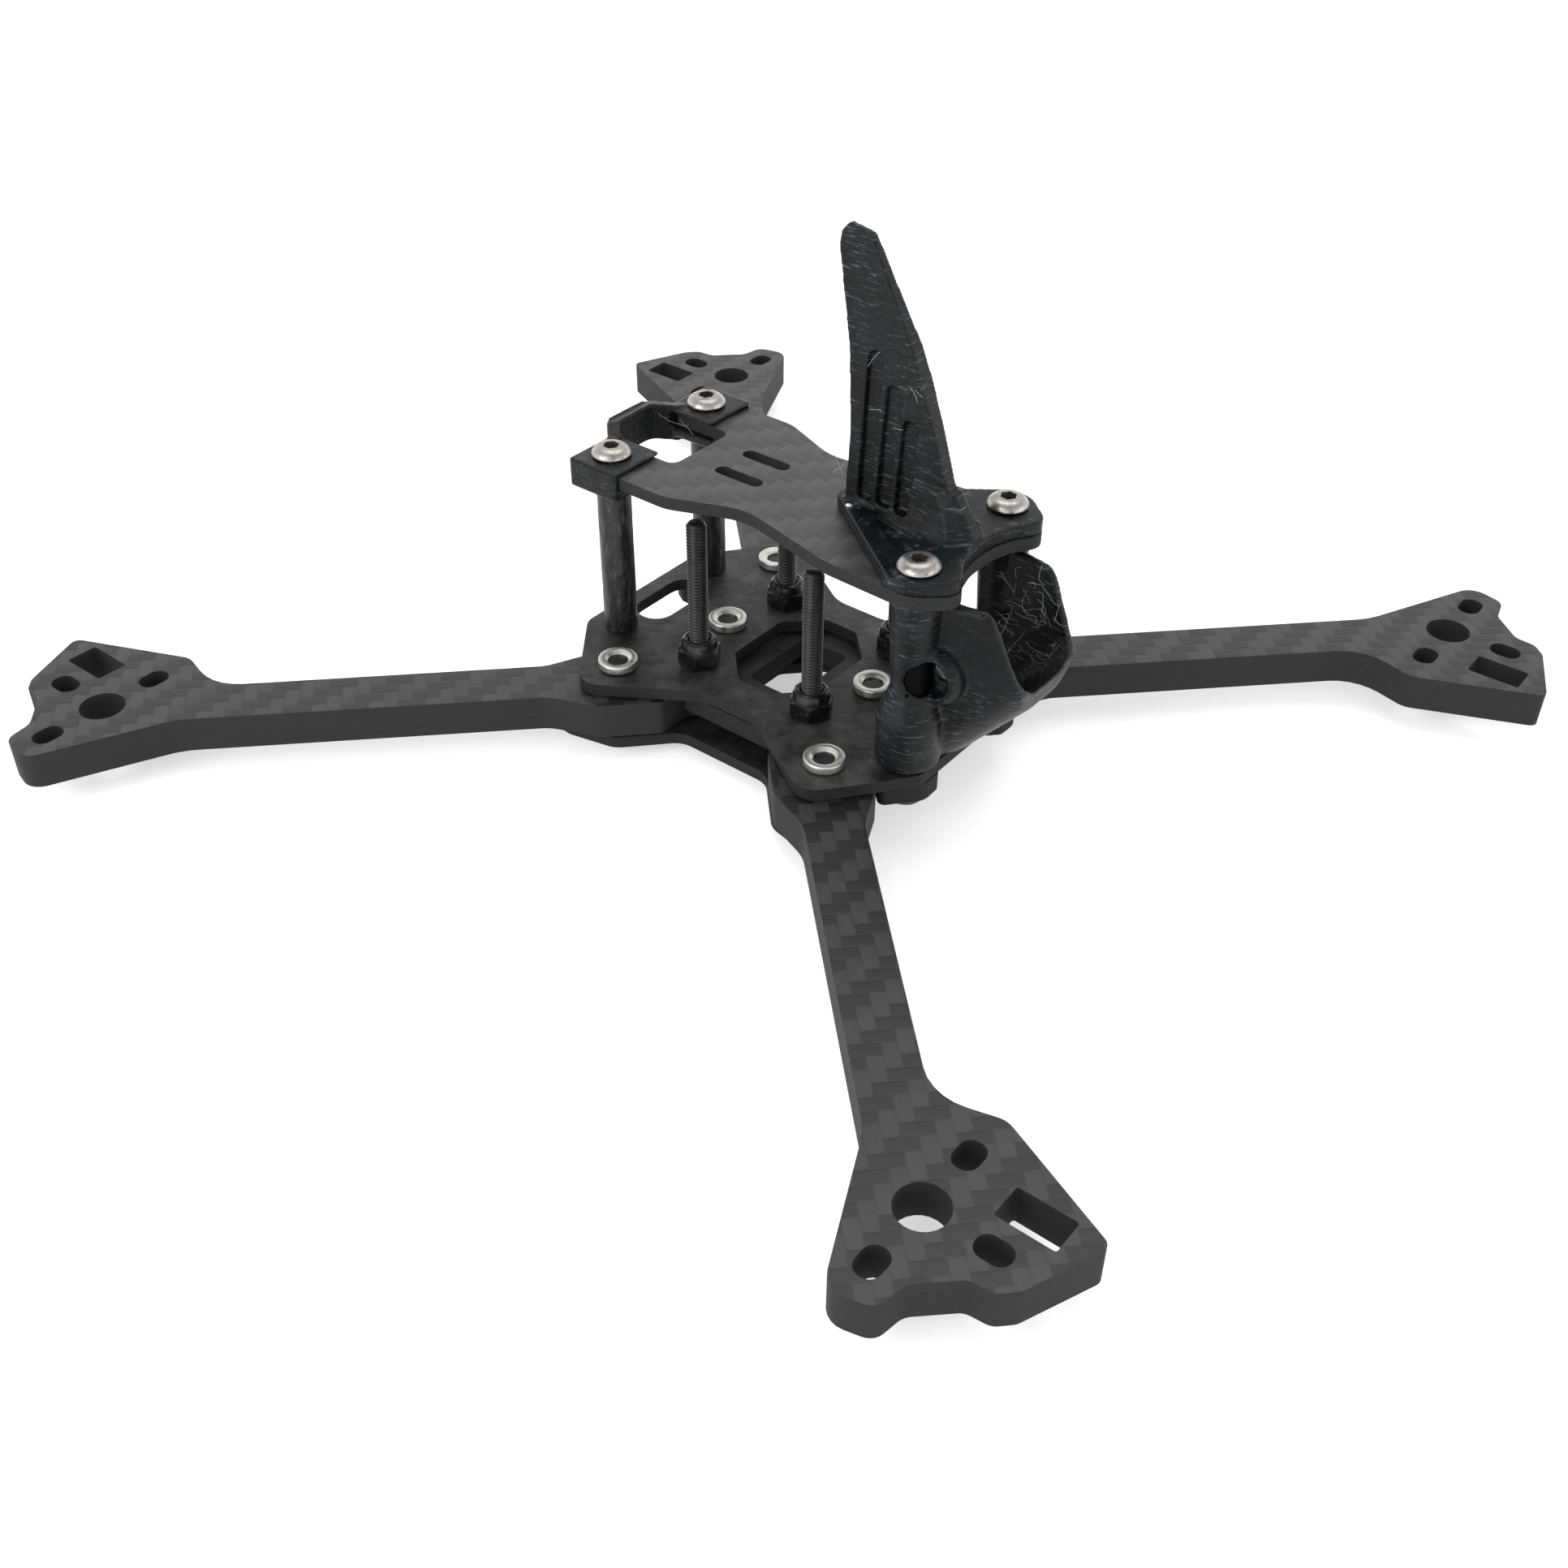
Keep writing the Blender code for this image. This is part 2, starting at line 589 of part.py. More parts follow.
# Rise above the foot, then the outline's front, half width and rear at that height.
FIN_FLARE = [(-0.5, -28.1, 4.6, -12.5), (0.5, -27.9, 3.4, -13.2), (1.5, -27.3, 2.7, -14.2),
             (3.2, -26.2, 2.1, -15.6), (5.6, -24.6, 1.7, -17.0)]


def flare_outline(front, half, rear):
    """Teardrop round the fin's lower front edge."""
    side = [(0.9, front), (half, front + 2.4), (half * 0.92, front + 5.4), (1.5, rear)]
    return side + [(-x, y) for x, y in reversed(side)]


def nose_fin():
    """Printed swept fin on a triangular foot that follows the nose of the top plate."""
    low, high = Z_ROOF + GAP / 2, Z_NOSE - GAP / 2
    foot = mirrored([(1.2, -6.8, 1.0), (14.3, -24.4, 1.6)] + PLATE_NOSE)
    base = solid(extruded("nose_fin", [rounded(foot)], low, high, printed()))
    pocket = [(0, -10.4, 0.4), (8.4, -21.2, 0.8), (-8.4, -21.2, 0.8)]
    cut(base, solid(extruded("pocket", [rounded(pocket)], high - 0.9, high + 2)))
    side = [(y, z + Z_MID, r) for y, z, r in FIN_SIDE]
    blade = standing("blade", [rounded(side)], -3, 3, "X")
    taper = [(1.7, Z_NOSE - 1.4), (1.35, Z_MID + 50), (0.5, Z_MID + 68), (-0.5, Z_MID + 68),
             (-1.35, Z_MID + 50), (-1.7, Z_NOSE - 1.4)]
    keep(blade, standing("blade_taper", [taper], -40, 0, "Y"))
    wedge = [(0.8, -28), (2.0, -9), (2.0, -4), (-2.0, -4), (-2.0, -9), (-0.8, -28)]
    keep(blade, solid(extruded("blade_wedge", [wedge], Z_ROOF, Z_MID + 70)))
    join(base, blade)
    join(base, lofted("flare", [(flare_outline(*at), high + rise) for rise, *at in FIN_FLARE]))
    for k, (top_y, top_z, foot_y) in enumerate(FIN_GROOVES):
        corners = [(foot_y - 1.1, Z_NOSE + 0.6, 0.5), (top_y - 1.1, Z_MID + top_z, 1.0),
                   (top_y + 1.1, Z_MID + top_z, 1.0), (foot_y + 1.1, Z_NOSE + 0.6, 0.5)]
        for name, sx in SIDES.items():
            inner, outer = sorted((sx * 0.45, sx * 6))
            cut(base, standing(f"groove_{k}_{name}", [rounded(corners)], inner, outer, "X"))
    for name, sx in SIDES.items():
        at = (sx * POST_X, FRONT_POST_Y)
        cut(base, rod(f"nose_hole_{name}", CLEARANCE_R, low - 1, high + 1, at))


def main():
    start()
    bottom_plate()
    mid_plate()
    arm_brace()
    arms()
    top_plate()
    screws()
    press_nuts()
    lock_nuts()
    standoffs()
    camera_mount()
    antenna_mount()
    nose_fin()


main()
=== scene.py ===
"""Looks of the bare racing quadcopter frame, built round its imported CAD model."""
import math
import random

import bmesh
import bpy
from mathutils import Matrix, Vector, noise


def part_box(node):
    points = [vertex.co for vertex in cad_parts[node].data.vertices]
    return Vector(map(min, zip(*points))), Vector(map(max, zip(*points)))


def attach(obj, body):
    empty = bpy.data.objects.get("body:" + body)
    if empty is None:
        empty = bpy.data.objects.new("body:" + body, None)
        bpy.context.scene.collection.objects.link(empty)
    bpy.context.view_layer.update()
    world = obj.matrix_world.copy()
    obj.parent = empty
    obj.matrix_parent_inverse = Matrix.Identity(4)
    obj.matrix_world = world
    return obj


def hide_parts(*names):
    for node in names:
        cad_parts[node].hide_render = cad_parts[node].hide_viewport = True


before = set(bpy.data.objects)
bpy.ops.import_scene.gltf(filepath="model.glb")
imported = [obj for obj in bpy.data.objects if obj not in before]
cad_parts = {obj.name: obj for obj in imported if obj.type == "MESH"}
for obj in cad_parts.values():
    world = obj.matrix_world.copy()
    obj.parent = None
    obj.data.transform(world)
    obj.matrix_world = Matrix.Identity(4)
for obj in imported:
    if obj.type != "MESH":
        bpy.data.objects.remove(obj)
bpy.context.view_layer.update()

MM = 0.001
SIDES = ("right", "left")
ENDS = ("front", "rear")
QUADS = [f"{end}_{side}" for end in ENDS for side in SIDES]

scene = bpy.context.scene


# ---------------------------------------------------------------- camera and light

AZIMUTH = math.radians(51.956)      # the look direction, turned from +Y towards +X
DOWN = math.radians(37.952)
ROLL = math.radians(0.508)
CAMERA_PLACE = (-0.167416, -0.128575, 0.152392)
FOCAL_MM = 40.744
SENSOR_MM = 36.0
NEAR_CLIP = 0.01

SKY_COLOUR = (0.97, 0.985, 1.0, 1)
SKY_LEVEL = 1.85                    # strength at the horizon and below it
SKY_TOP = 0.38                      # strength straight up


def fitted_camera():
    """The camera that was fitted to the photograph."""
    ahead = Vector((math.sin(AZIMUTH) * math.cos(DOWN), math.cos(AZIMUTH) * math.cos(DOWN),
                    -math.sin(DOWN)))
    level = Vector((math.cos(AZIMUTH), -math.sin(AZIMUTH), 0))
    above = level.cross(ahead)
    right = level * math.cos(ROLL) + above * math.sin(ROLL)
    upward = above * math.cos(ROLL) - level * math.sin(ROLL)
    turned_to = Matrix((right, upward, -ahead)).transposed().to_4x4()
    camera = bpy.data.objects.new("camera", bpy.data.cameras.new("camera"))
    camera.data.lens = FOCAL_MM
    camera.data.sensor_width = SENSOR_MM
    camera.data.clip_start = NEAR_CLIP
    camera.matrix_world = Matrix.Translation(CAMERA_PLACE) @ turned_to
    scene.collection.objects.link(camera)
    scene.camera = camera
    scene.view_settings.view_transform = "Standard"
    scene.view_settings.look = "None"


def studio_sky():
    """Near-white surroundings that dim towards the top."""
    world = bpy.data.worlds.new("studio")
    scene.world = world
    world.use_nodes = True
    sky = world.node_tree
    toward = sky.nodes.new("ShaderNodeTexCoord").outputs["Generated"]
    rise = sky.nodes.new("ShaderNodeSeparateXYZ")
    fade = sky.nodes.new("ShaderNodeMapRange")
    fade.inputs["To Min"].default_value = SKY_LEVEL
    fade.inputs["To Max"].default_value = SKY_TOP
    sky.links.new(toward, rise.inputs[0])
    sky.links.new(rise.outputs["Z"], fade.inputs["Value"])
    sky.links.new(fade.outputs[0], sky.nodes["Background"].inputs["Strength"])
    sky.nodes["Background"].inputs["Color"].default_value = SKY_COLOUR


def softbox(name, place, target, wide, tall, power, colour=(1, 1, 1)):
    """Rectangular area light pointed at a target."""
    light = bpy.data.lights.new(name, "AREA")
    light.shape = "RECTANGLE"
    light.size, light.size_y = wide, tall
    light.energy = power
    light.color = colour
    lamp = bpy.data.objects.new(name, light)
    lamp.location = place
    lamp.rotation_euler = (Vector(target) - Vector(place)).to_track_quat("-Z", "Y").to_euler()
    scene.collection.objects.link(lamp)


fitted_camera()
studio_sky()
softbox("overhead", (0.15, 0.10, 0.75), (0, 0, 0), wide=0.7, tall=0.5, power=2.5)
softbox("window", (-0.75, 0.15, 0.45), (0, 0, 0.02), wide=0.5, tall=0.4, power=3.0,
        colour=(0.96, 0.98, 1.0))
softbox("fill", (0.25, -0.85, 0.30), (0, 0, 0.02), wide=0.6, tall=0.3, power=0.8)


# ---------------------------------------------------------------- node helper

MIX_FLOATS = (2, 3)                 # the Mix node's A and B sockets, by data type
MIX_COLOURS = (6, 7)


class Shader:
    """A material's node tree, with short calls for the nodes used here."""

    def __init__(self, name, rough, metal=0.0, specular=0.5):
        self.material = bpy.data.materials.new(name)
        self.material.use_nodes = True
        self.tree = self.material.node_tree
        self.surface = self.tree.nodes["Principled BSDF"]
        self.surface.inputs["Roughness"].default_value = rough
        self.surface.inputs["Metallic"].default_value = metal
        self.surface.inputs["Specular IOR Level"].default_value = specular
        self.place = self.tree.nodes.new("ShaderNodeTexCoord").outputs["Object"]

    def node(self, kind, values=(), **settings):
        """New node with (socket, number or other socket) pairs put in."""
        made = self.tree.nodes.new("ShaderNode" + kind)
        for key, value in settings.items():
            setattr(made, key, value)
        for socket, value in values:
            if isinstance(value, bpy.types.NodeSocket):
                self.tree.links.new(value, made.inputs[socket])
            else:
                made.inputs[socket].default_value = value
        return made

    def math(self, operation, *values):
        return self.node("Math", enumerate(values), operation=operation).outputs[0]

    def vector(self, operation, first, second):
        return self.node("VectorMath", enumerate((first, second)), operation=operation).outputs[0]

    def along(self, vector, direction):
        """Distance along a direction, in the direction's own unit."""
        return self.node("VectorMath", enumerate((vector, direction)),
                         operation="DOT_PRODUCT").outputs["Value"]

    def joined(self, *values):
        return self.node("CombineXYZ", enumerate(values)).outputs[0]

    def scaled(self, vector, factors):
        return self.vector("MULTIPLY", vector, factors)

    def shaded(self, colour, factor):
        """A colour made lighter or darker."""
        return self.node("VectorMath", ((0, colour), ("Scale", factor)),
                         operation="SCALE").outputs[0]

    def noise(self, vector, scale, detail=2.0, rough=0.5, twist=0.0):
        return self.node("TexNoise", (("Vector", vector), ("Scale", scale), ("Detail", detail),
                                      ("Roughness", rough), ("Distortion", twist))).outputs["Fac"]

    def grain(self, vector, scales, detail, rough, twist=0.0):
        """Noise with a scale of its own on each axis."""
        return self.noise(self.scaled(vector, scales), 1.0, detail, rough, twist)

    def fit(self, value, low, high, to_low=0.0, to_high=1.0):
        return self.node("MapRange", enumerate((value, low, high, to_low, to_high)),
                         clamp=True).outputs[0]

    def mix(self, factor, first, second):
        """Blend of two colours, each (r, g, b) or a socket."""
        values = [("Factor", factor)]
        for socket, colour in zip(MIX_COLOURS, (first, second)):
            fixed = not isinstance(colour, bpy.types.NodeSocket)
            values.append((socket, (*colour, 1) if fixed else colour))
        return self.node("Mix", values, data_type="RGBA").outputs[2]

    def blend(self, factor, first, second):
        """Blend of two numbers."""
        return self.node("Mix", [("Factor", factor), *zip(MIX_FLOATS, (first, second))]).outputs[0]

    def colour(self, socket):
        self.tree.links.new(socket, self.surface.inputs["Base Color"])

    def rough(self, socket):
        self.tree.links.new(socket, self.surface.inputs["Roughness"])

    def bump(self, height, distance, strength=1.0):
        made = self.node("Bump", (("Height", height), ("Distance", distance),
                                  ("Strength", strength)))
        self.tree.links.new(made.outputs["Normal"], self.surface.inputs["Normal"])


# ---------------------------------------------------------------- carbon

TWILL = 4.0                         # tows in one repeat of the weave
FLOAT = 2.0                         # tows that the upper one passes over
STRAY = 0.00022                     # metres by which a tow wanders
FIBRE_LONG, FIBRE_ACROSS = 0.7, 16.0
DUST = (0.16, 0.155, 0.145)
EDGE_ROUGH = 0.80
CARBON_RELIEF = 0.00006


def tow_grid(s, angle, tow):
    """Two coordinates on the face, counted in tows: across the weft and across the warp."""
    wander = s.node("TexNoise", (("Vector", s.place), ("Scale", 180.0), ("Detail", 1.0)))
    wobble = s.scaled(wander.outputs["Color"], (STRAY, STRAY, 0.0))
    spot = s.vector("ADD", s.place, wobble)
    return (s.along(spot, (math.cos(angle) / tow, math.sin(angle) / tow, 0)),
            s.along(spot, (math.sin(angle) / tow, -math.cos(angle) / tow, 0)))


def woven(s, u, v):
    """Where the warp is on top, and a tow's height: low at its sides and where it dives."""
    i, j = s.math("FLOOR", u), s.math("FLOOR", v)
    step = s.math("FLOORED_MODULO", s.math("SUBTRACT", i, j), TWILL)
    is_warp = s.math("LESS_THAN", step, FLOAT - 0.5)
    across = s.blend(is_warp, s.math("FRACT", u), s.math("FRACT", v))
    float_warp = s.math("FLOORED_MODULO", s.math("SUBTRACT", u, j), TWILL)
    float_weft = s.math("SUBTRACT", s.math("FLOORED_MODULO", s.math("SUBTRACT", i, v), TWILL), 1.0)
    length = s.blend(is_warp, s.math("MULTIPLY", float_weft, 1 / FLOAT),
                     s.math("MULTIPLY", float_warp, 1 / FLOAT))
    crown = s.math("SINE", s.math("MULTIPLY", across, math.pi))
    arch = s.math("SINE", s.math("MULTIPLY", length, math.pi))
    height = s.math("MULTIPLY", s.math("POWER", s.math("ABSOLUTE", crown), 0.35),
                    s.math("ADD", 0.55, s.math("MULTIPLY", s.math("ABSOLUTE", arch), 0.45)))
    return is_warp, height


def carbon(name, angle, tow, warp, weft, edge, rough, gloss, dust=0.0, contrast=1.0):
    """2 x 2 twill laminate: tows on the faces, stacked plies on the cut edges.

    The angle turns the tows from X and Y, and a tow is that many metres wide. Warp, weft and
    edge are colours; the lighter warp and darker weft are painted sheen, standing in for the
    reflection that differs with each tow's direction. Dust and contrast are amounts.
    """
    s = Shader(name, rough, 0.0, gloss)
    u, v = tow_grid(s, angle, tow)
    is_warp, height = woven(s, u, v)
    grid = s.joined(u, v, 0.0)
    fibre = s.blend(is_warp, s.grain(grid, (FIBRE_ACROSS, FIBRE_LONG, 1.0), 3.0, 0.7),
                    s.grain(grid, (FIBRE_LONG, FIBRE_ACROSS, 1.0), 3.0, 0.7))

    # light and dark: fibres, tow by tow, the gaps between tows, and broad patches
    pair = s.math("FLOOR", s.math("MULTIPLY", u, 1 / FLOAT))
    cell = s.node("TexWhiteNoise", (("Vector", s.joined(pair, s.math("FLOOR", v), 0.0)),))
    lift = s.math("ADD", s.fit(fibre, 0.3, 0.7, 1 - 0.32 * contrast, 1 + 0.30 * contrast),
                  s.fit(cell.outputs["Value"], 0, 1, -0.10 * contrast, 0.10 * contrast))
    lift = s.math("MULTIPLY", lift, s.fit(height, 0.15, 0.7, 1 - 0.35 * contrast, 1.0))
    patch = s.noise(s.place, 55.0, 3.0, 0.6)
    lift = s.math("MULTIPLY", lift, s.fit(patch, 0.3, 0.7, 0.82, 1.18))
    # painted sheen: warp tows lighter and weft tows darker, in place of their direction-dependent
    # reflections
    face = s.shaded(s.mix(is_warp, weft, warp), lift)
    if dust:
        speck = s.fit(s.noise(s.place, 2100.0, 2.0, 0.6), 0.66, 0.76)
        haze = s.fit(s.noise(s.place, 140.0, 4.0, 0.7), 0.42, 0.7, 0.0, 0.35)
        face = s.mix(s.math("MULTIPLY", s.math("MAXIMUM", speck, haze), dust), face, DUST)

    # plies on the cut edge: thin level bands with streaks of fibre between them
    ply = s.grain(s.place, (60, 60, 5200), 2.0, 0.6)
    streak = s.grain(s.place, (900, 900, 3600), 3.0, 0.75)
    side = s.shaded(edge, s.math("ADD", s.fit(ply, 0.3, 0.7, 0.6, 1.25),
                                 s.fit(streak, 0.35, 0.7, -0.25, 0.5)))

    up = s.node("SeparateXYZ", ((0, s.node("NewGeometry").outputs["Normal"]),)).outputs["Z"]
    flat = s.fit(s.math("ABSOLUTE", up), 0.55, 0.85)
    s.colour(s.mix(flat, side, face))
    s.rough(s.blend(flat, EDGE_ROUGH, s.fit(fibre, 0.3, 0.7, rough - 0.07, rough + 0.10)))
    relief = s.blend(flat, s.math("ADD", s.math("MULTIPLY", ply, 0.5), streak),
                     s.math("ADD", height, s.math("MULTIPLY", fibre, 0.35)))
    s.bump(relief, CARBON_RELIEF, 0.5)
    return s.material


DIAGONAL = math.radians(45)
# the lighter warp and darker weft colours below are painted sheen
arm_carbon = carbon(
    "arm_carbon", DIAGONAL, tow=0.00195, warp=(0.0250, 0.0245, 0.0215),
    weft=(0.0035, 0.0050, 0.0055), edge=(0.0040, 0.0045, 0.0045), rough=0.42, gloss=0.52,
    contrast=1.1)
mid_carbon = carbon(
    "mid_carbon", DIAGONAL, tow=0.0021, warp=(0.0155, 0.0145, 0.0125),
    weft=(0.0065, 0.0068, 0.0068), edge=(0.0080, 0.0085, 0.0085), rough=0.47, gloss=0.32,
    dust=0.8, contrast=0.9)
roof_carbon = carbon(
    "roof_carbon", 0.0, tow=0.0018, warp=(0.034, 0.036, 0.036), weft=(0.019, 0.0205, 0.0215),
    edge=(0.0080, 0.0088, 0.0090), rough=0.40, gloss=0.43, dust=0.25, contrast=0.9)
low_carbon = carbon(
    "low_carbon", 0.0, tow=0.0021, warp=(0.012, 0.012, 0.0115), weft=(0.005, 0.0055, 0.006),
    edge=(0.0090, 0.0094, 0.0094), rough=0.47, gloss=0.28, dust=0.2, contrast=0.9)


# ---------------------------------------------------------------- prints and metals

TPU_DEEP = (0.0020, 0.0028, 0.0033)
TPU_HAZY = (0.0075, 0.0100, 0.0115)
TPU_PALE = (0.110, 0.120, 0.125)
LAYER = 0.00028
PRINT_RELIEF = 0.00010
METAL_RELIEF = 0.00002


def printed(name, upright_amount, level_amount):
    """Black TPU with layer lines, pale dashes along the layers, and upright flecks."""
    s = Shader(name, 0.38, 0.0, 0.17)
    layers = s.along(s.place, (0, 0, 1 / LAYER))
    bent = s.math("ADD", layers, s.math("MULTIPLY", s.noise(s.place, 160.0, 2.0), 0.35))
    line = s.math("ABSOLUTE", s.math("SINE", s.math("MULTIPLY", bent, math.pi)))
    string = s.grain(s.place, (420, 420, 3400), 3.0, 0.75, 0.3)
    upright = s.grain(s.place, (2600, 2600, 420), 3.0, 0.8, 0.5)
    haze = s.noise(s.place, 240.0, 4.0, 0.65)
    cloud = s.fit(s.noise(s.place, 75.0, 3.0, 0.6), 0.34, 0.58)
    dashes = s.math("MULTIPLY", s.fit(string, 0.56, 0.72, 0.0, level_amount), cloud)
    flecks = s.fit(upright, 0.57, 0.78, 0.0, upright_amount)
    shade = s.mix(s.fit(haze, 0.32, 0.72), TPU_DEEP, TPU_HAZY)
    s.colour(s.mix(s.math("MAXIMUM", dashes, flecks), shade, TPU_PALE))
    s.rough(s.fit(haze, 0.3, 0.7, 0.24, 0.42))
    relief = s.math("ADD", s.math("MULTIPLY", line, 0.4), s.math("ADD", string, s.math(
        "MULTIPLY", upright, upright_amount)))
    s.bump(relief, PRINT_RELIEF, 0.55)
    return s.material


def steel(name, base, worn, rough, metal=1.0, specular=0.5, scale=900.0, marks=0.5, dents=0.25,
          stretch=(1, 1, 1)):
    """Metal, plated metal or hard plastic with fine handling marks."""
    s = Shader(name, rough, metal, specular)
    scratch = s.noise(s.scaled(s.place, stretch), scale, 4.0, 0.75, 1.2)
    stain = s.noise(s.scaled(s.place, stretch), scale * 0.35, 3.0, 0.6)
    amount = s.math("MULTIPLY", s.math("MAXIMUM", s.fit(scratch, 0.55, 0.72),
                                       s.fit(stain, 0.52, 0.75)), marks)
    s.colour(s.mix(amount, base, worn))
    s.rough(s.fit(scratch, 0.3, 0.7, max(rough - 0.10, 0.05), rough + 0.14))
    if dents:
        s.bump(scratch, METAL_RELIEF, dents)
    return s.material


tpu = printed("tpu", upright_amount=0.12, level_amount=0.95)
tpu_blocks = printed("tpu_blocks", upright_amount=0.55, level_amount=0.60)
bright_steel = steel("bright_steel", (0.39, 0.365, 0.34), (0.10, 0.09, 0.08), 0.34,
                     scale=1700.0, marks=0.9, dents=0.45)
press_nickel = steel("press_nickel", (0.60, 0.58, 0.54), (0.30, 0.28, 0.25), 0.36,
                     scale=500.0, marks=0.3, dents=0.0)
black_oxide = steel("black_oxide", (0.026, 0.026, 0.027), (0.085, 0.08, 0.075), 0.34,
                    metal=0.6, marks=0.3)
nut_black = steel("nut_black", (0.006, 0.006, 0.007), (0.12, 0.11, 0.10), 0.20,
                  metal=0.4, scale=600.0, marks=0.35)
post_black = steel("post_black", (0.002, 0.0022, 0.0024), (0.13, 0.14, 0.14), 0.42,
                   metal=0.0, scale=4200.0, marks=0.38, dents=0.6, stretch=(1, 1, 0.2))
hidden_post = steel("hidden_post", (0.002, 0.002, 0.002), (0.004, 0.004, 0.004), 0.6,
                    metal=0.0, specular=0.05)
nylon_black = steel("nylon_black", (0.010, 0.010, 0.011), (0.03, 0.03, 0.03), 0.45, metal=0.0)
# near-black painted shade for the floors of the roof screws' hex sockets
socket_painted_shade = steel("socket_painted_shade", (0.012, 0.011, 0.010), (0.04, 0.038, 0.035), 0.5, metal=0.4)


# ---------------------------------------------------------------- pieces made from CAD nodes

WELD = 2e-6
COPLANAR = math.radians(0.6)
BEVELLED_OVER = math.radians(40)


def add(name, mesh, surface, body, replaced=None):
    """Put a finished mesh in the scene on the empty of a body, hiding the CAD node it replaces."""
    mesh.materials.clear()
    mesh.materials.append(surface)
    thing = bpy.data.objects.new(name, mesh)
    scene.collection.objects.link(thing)
    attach(thing, body)
    if replaced:
        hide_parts(replaced)


def rounded_over(mesh):
    """Smooth shading everywhere."""
    mesh.polygons.foreach_set("use_smooth", [True] * len(mesh.polygons))


def smoothed(mesh, angle):
    """Smooth shading, sharp where two faces meet at more than an angle."""
    rounded_over(mesh)
    mesh.set_sharp_from_angle(angle=math.radians(angle))


def meshed(shape, name):
    """The mesh of a bmesh, which is freed."""
    mesh = bpy.data.meshes.new(name)
    shape.to_mesh(mesh)
    shape.free()
    return mesh


def applied(thing):
    """The mesh an object has once its modifiers are applied; the object goes."""
    bpy.context.view_layer.update()
    graph = bpy.context.evaluated_depsgraph_get()
    mesh = bpy.data.meshes.new_from_object(thing.evaluated_get(graph))
    bpy.data.objects.remove(thing)
    return mesh


def solid_again(node, merged):
    """An object with a copy of the CAD solid, welded, its coplanar faces merged or not."""
    shape = bmesh.new()
    shape.from_mesh(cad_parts[node].data)
    bmesh.ops.remove_doubles(shape, verts=shape.verts, dist=WELD)
    if merged:
        bmesh.ops.dissolve_limit(shape, angle_limit=COPLANAR, verts=shape.verts,
                                 edges=shape.edges)
    thing = bpy.data.objects.new(node + "_look", meshed(shape, node + "_look"))
    scene.collection.objects.link(thing)
    return thing


def softened(node, surface, width):
    """A cut plate with its corners eased."""
    thing = solid_again(node, merged=True)
    smoothed(thing.data, 32)
    bevel = thing.modifiers.new("ease", "BEVEL")
    bevel.width = width
    bevel.segments = 2
    bevel.limit_method = "ANGLE"
    bevel.angle_limit = BEVELLED_OVER
    bevel.harden_normals = True
    bevel.miter_outer = "MITER_ARC"
    add(node + "_look", applied(thing), surface, "frame", node)


def cast(node, surface, voxel, passes):
    """A printed piece with its inner and outer corners run together."""
    thing = solid_again(node, merged=False)
    grid = thing.modifiers.new("grid", "REMESH")
    grid.mode = "VOXEL"
    grid.voxel_size = voxel
    ease = thing.modifiers.new("ease", "SMOOTH")
    ease.factor = 0.5
    ease.iterations = passes
    made = applied(thing)
    rounded_over(made)
    add(node + "_look", made, surface, "frame", node)


for quad in QUADS:
    softened(f"arm_{quad}", arm_carbon, 0.16 * MM)
softened("mid_plate", mid_carbon, 0.12 * MM)
softened("top_plate", roof_carbon, 0.12 * MM)
softened("bottom_plate", low_carbon, 0.12 * MM)
softened("arm_brace", low_carbon, 0.12 * MM)
cast("camera_mount", tpu, 0.30 * MM, 10)
cast("antenna_mount", tpu_blocks, 0.24 * MM, 3)
cast("nose_fin", tpu, 0.22 * MM, 3)


# ---------------------------------------------------------------- turned hardware

SHANK = 1.42                        # M3 core and thread, as radii in millimetres
SHANK_TIP = 1.40
HEAD = 2.78
HEX_KEY = 2.0
HEX_DEPTH = 1.05
HEX_LAND = 1.26


def skinned(shape, rings, name, close=False):
    """Mesh of the quads between rings of vertices, capped unless it closes on itself."""
    pairs = list(zip(rings, rings[1:])) + ([(rings[-1], rings[0])] if close else [])
    for low, high in pairs:
        for k in range(len(low)):
            n = (k + 1) % len(low)
            shape.faces.new((low[k], low[n], high[n], high[k]))
    if not close:
        shape.faces.new(rings[0][::-1])
        shape.faces.new(rings[-1])
    bmesh.ops.recalc_face_normals(shape, faces=shape.faces)
    return meshed(shape, name)


def lathe(profile, steps, at, close=False, wobble=None):
    """Mesh turned about a vertical axis from (radius, height) points in millimetres."""
    shape = bmesh.new()
    rings = []
    for radius, height in profile:
        ring = []
        for k in range(steps):
            angle = 2 * math.pi * k / steps
            r = radius + (wobble(angle, height) if wobble else 0)
            ring.append(shape.verts.new((at[0] + r * MM * math.cos(angle),
                                         at[1] + r * MM * math.sin(angle), at[2] + height * MM)))
        rings.append(ring)
    return skinned(shape, rings, "turned", close)


def hexagon(across, low, high, at, turn=0.0):
    """Hexagonal bar across its flats, in millimetres."""
    corner = across / math.sqrt(3)
    mesh = lathe([(corner, low), (corner, high)], 6, (0, 0, 0))
    mesh.transform(Matrix.Translation(at) @ Matrix.Rotation(turn, 4, "Z"))
    return mesh


def carved(mesh, tool, operation):
    """Exact boolean of two meshes; the tool's object goes."""
    body = bpy.data.objects.new("body", mesh)
    blade = bpy.data.objects.new("blade", tool)
    for thing in (body, blade):
        scene.collection.objects.link(thing)
    change = body.modifiers.new("carve", "BOOLEAN")
    change.operation = operation
    change.solver = "EXACT"
    change.object = blade
    made = applied(body)
    bpy.data.objects.remove(blade)
    return made


def middle(node):
    """Centre x and y, bottom and top of a CAD node, in metres."""
    low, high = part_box(node)
    return (low.x + high.x) / 2, (low.y + high.y) / 2, low.z, high.z


def outer_radius(node):
    """Radius of a round CAD node, in millimetres."""
    low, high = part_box(node)
    return (high.x - low.x) / 2 / MM


